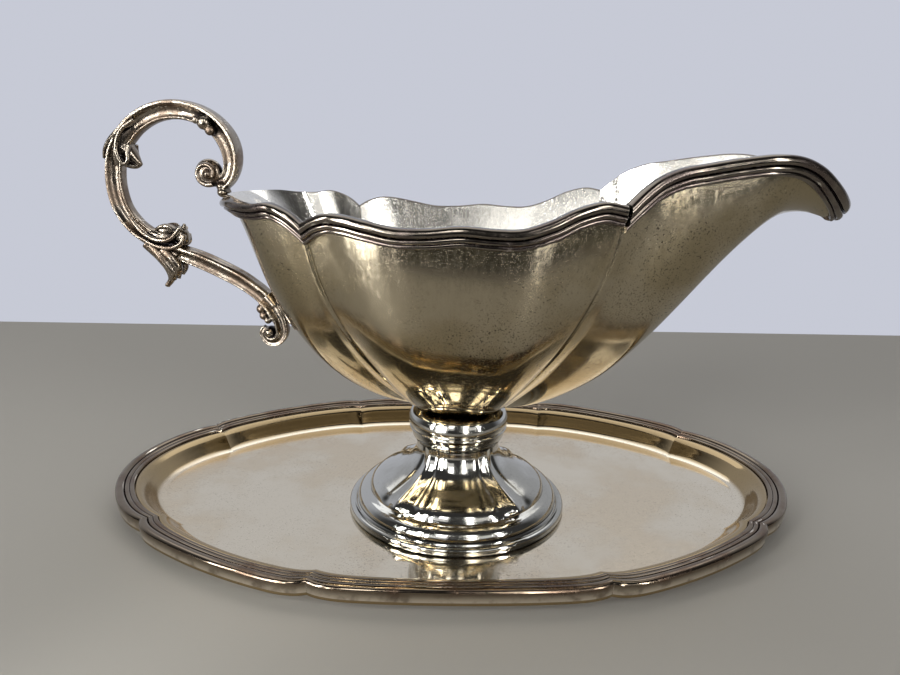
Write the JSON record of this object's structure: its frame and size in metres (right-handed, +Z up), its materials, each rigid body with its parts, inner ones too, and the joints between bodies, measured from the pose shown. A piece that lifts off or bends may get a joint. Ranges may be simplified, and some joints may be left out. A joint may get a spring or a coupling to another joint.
{
  "type": "sauce boat on tray",
  "caption": "Footed silver sauce boat with a high pouring spout, folded bowl, reeded rim and leafy double-scroll handle, standing loose on a lobed oval tray with a reeded border.",
  "frame": {"origin": "centre of the tray's flat underside", "axes": "+X along the tray's long axis towards the spout, +Y across it towards the far side, +Z up"},
  "size_m": [0.2304, 0.146, 0.1313],
  "materials": {
    "tray_silver": "worn satin-mirror silver plate, pale and warm, with sparse dark specks",
    "border_silver": "silver plate worn to a brown copper tone on its edges",
    "bowl_silver": "tarnished silver plate, champagne gold outside with fine dark pitting, bright inside",
    "rim_silver": "polished bead tops over dark purple-brown grooves",
    "foot_silver": "bright cool mirror-polished silver plate",
    "handle_silver": "cast silver plate, near-black in the hollows and bright or coppery on worn edges"
  },
  "bodies": {
    "tray": {"tray_plate": "tray_silver", "tray_border_right_end": "border_silver", "tray_border_back_right": "border_silver", "tray_border_back_middle": "border_silver", "tray_border_back_left": "border_silver", "tray_border_left_end": "border_silver", "tray_border_front_left": "border_silver", "tray_border_front_middle": "border_silver", "tray_border_front_right": "border_silver"},
    "boat": {"bowl_body": "bowl_silver", "rim_handle_end": "rim_silver", "rim_front_side": "rim_silver", "rim_back_side": "rim_silver", "rim_spout": "rim_silver", "stem_knop": "foot_silver", "foot_skirt": "foot_silver", "foot_base": "foot_silver", "handle_upper_scroll": "handle_silver", "handle_upper_leaf": "handle_silver", "handle_stem": "handle_silver", "handle_acanthus": "handle_silver", "handle_pendant_leaf": "handle_silver", "handle_branch": "handle_silver", "handle_lower_scroll": "handle_silver", "handle_bowl_leaf": "handle_silver"}
  },
  "joints": [
    {"name": "boat_lift", "type": "slide", "parent": "tray", "child": "boat", "axis": [0, 0, 1], "range_m": [0, 0.1]}
  ]
}
